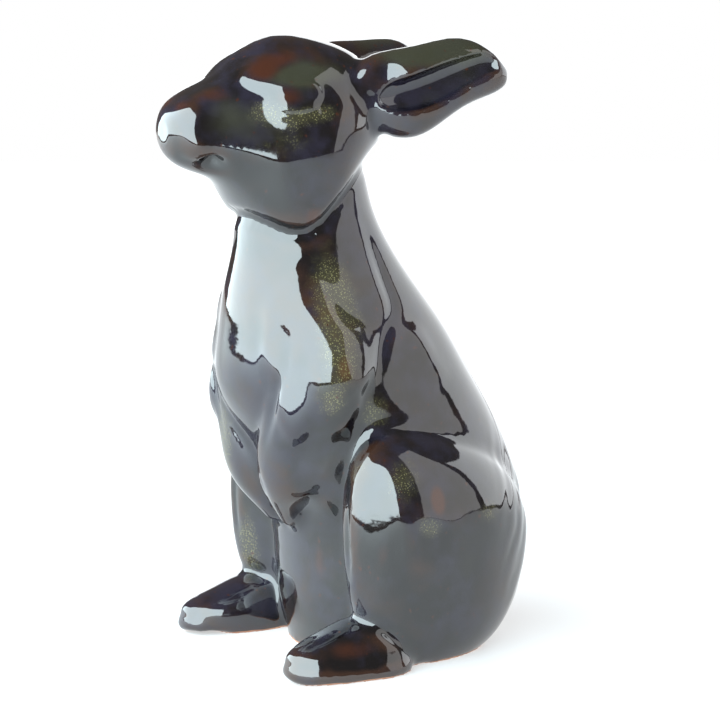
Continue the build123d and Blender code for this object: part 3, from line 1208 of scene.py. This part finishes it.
@dataclass(frozen=True)
class Panel:
    """A bright card or lamp round the figure, seen only in its reflections.

    sideways and heights are its edges in degrees, seen from level, a height in metres,
    and sag is how many degrees lower its top edge is at its two ends.
    """

    name: str
    sideways: tuple[float, float]
    heights: tuple[float, float]
    glow: float
    tint: Colour = (1.0, 1.0, 1.0)
    sag: float = 0.0
    distance: float = 1.3
    level: float = 0.1
    steps: int = 24

    def build(self) -> Object:
        """Returns the card, curved round the figure and facing it."""
        left, right = self.sideways
        low, high = self.heights
        places = []
        for share in np.linspace(0, 1, self.steps + 1):
            top = high - self.sag * (2 * share - 1) ** 2
            for tilt in np.linspace(low, top, self.steps + 1):
                way = facing(left + (right - left) * share, tilt)
                places.append(tuple(way * self.distance + (0, 0, self.level)))
        row = self.steps + 1
        corners = (k for k in range(self.steps * row) if (k + 1) % row)
        mesh = bpy.data.meshes.new(self.name)
        mesh.from_pydata(places, [], [(k, k + 1, k + row + 1, k + row) for k in corners])
        material = bpy.data.materials.new(self.name)
        material.use_nodes = True
        tree = material.node_tree
        tree.nodes.clear()
        lamp = add_node(tree, "ShaderNodeEmission", {"Color": self.tint, "Strength": self.glow})
        add_node(tree, "ShaderNodeOutputMaterial", {"Surface": lamp.outputs[0]})
        mesh.materials.append(material)
        card = add_object(self.name, mesh)
        card.visible_camera = False
        return card


@dataclass
class Studio:
    """A grey table with a painted glow that shows white, with a finite front edge, a tall soft lamp,
    white cards and a dark room.

    dusk is where, in metres behind the figure, the table begins and ends to glow more.
    """

    azimuth: float = 58.0
    elevation: float = 10.0
    distance: float = 0.95
    target: Point = (0.0, 0.00455, 0.098)
    lens: float = 138.7
    sensor: float = 36.0
    table_front: float = 0.9
    table_back: float = 1.6
    table_half: float = 1.2
    table_colour: Colour = (0.42, 0.43, 0.445)
    table_glow: Colour = (0.48, 0.47, 0.46)
    table_roughness: float = 0.6
    dusk: tuple[float, float] = (0.05, 0.9)
    white: Colour = (1.0, 1.0, 1.0)
    room: Colour = (0.16, 0.145, 0.14)
    panels: tuple[Panel, ...] = (
        Panel("softbox", (-72.0, 80.0), (-3.0, 60.0), 8.0, (0.80, 0.95, 0.99), sag=36.0),
        Panel("right_card", (121.0, 150.0), (-4.0, 46.0), 1.5, (1.0, 0.99, 0.98)),
        Panel("backdrop", (155.0, 252.0), (-3.0, 28.0), 2.6, (0.95, 0.98, 1.0)),
    )

    def build(self) -> None:
        """Sets up the table, the lights and the camera."""
        self.table()
        for panel in self.panels:
            panel.build()
        self.surroundings()
        self.camera()

    def table(self) -> None:
        """Makes the table top: grey, with a painted glow that fills the lamp's shadow to white and
        grows behind the figure.
        """
        ahead = Vector(facing(self.azimuth))
        half = Vector((-ahead.y, ahead.x, 0)) * self.table_half
        front = ahead * self.table_front
        back = ahead * -self.table_back
        corners = (front - half, front + half, back + half, back - half)
        mesh = bpy.data.meshes.new("table")
        mesh.from_pydata([tuple(corner) for corner in corners], [], [(0, 1, 2, 3)])
        finish = Finish("table")
        inputs = {0: finish.place, 1: -ahead}
        depth = finish.value("Value", "ShaderNodeVectorMath", inputs, operation="DOT_PRODUCT")
        finish.dress({
            "Base Color": self.table_colour,
            "Roughness": self.table_roughness,
            # painted light: the emission lifts the table where the lamp's shadow falls and brightens
            # the table that the glaze reflects
            "Emission Strength": 1.0,
            "Emission Color": finish.blend(depth.between(*self.dusk), self.table_glow, self.white),
        })
        mesh.materials.append(finish.material)
        add_object("table", mesh)

    def surroundings(self) -> None:
        """Makes the room: white behind the figure for the camera, dark everywhere else."""
        world = bpy.data.worlds.new("room")
        world.use_nodes = True
        tree = world.node_tree
        tree.nodes.clear()
        seen = add_node(tree, "ShaderNodeLightPath").outputs["Is Camera Ray"]
        dark = add_node(tree, "ShaderNodeBackground", {"Color": self.room})
        white = add_node(tree, "ShaderNodeBackground", {"Color": self.white})
        inputs = {0: seen, 1: dark.outputs[0], 2: white.outputs[0]}
        mix = add_node(tree, "ShaderNodeMixShader", inputs)
        add_node(tree, "ShaderNodeOutputWorld", {"Surface": mix.outputs[0]})
        bpy.context.scene.world = world

    def camera(self) -> None:
        """Puts the camera at the photograph's angle."""
        data = bpy.data.cameras.new("camera")
        data.lens = self.lens
        data.sensor_width = self.sensor
        data.clip_start = 0.01
        back = Vector(facing(self.azimuth, self.elevation))
        view = add_object("camera", data)
        view.location = Vector(self.target) + back * self.distance
        view.rotation_euler = back.to_track_quat("Z", "Y").to_euler()
        bpy.context.scene.camera = view
        bpy.context.scene.view_settings.view_transform = "Standard"


def main() -> None:
    """Builds the figure and its studio, and reports each piece."""
    logging.basicConfig(level=logging.INFO, format="%(name)s %(message)s")
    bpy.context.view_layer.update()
    finishes = {"glaze": Glaze().build(), "bare_clay": BareClay().build()}
    figure = Figure()
    for piece in figure.pieces(finishes):
        node = piece.name.removesuffix("_skin")
        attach(piece, BODY)
        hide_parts(node)
        LOG.info("%s rides on %s", piece.name, BODY)
    Studio().build()


if __name__ == "__main__":
    main()
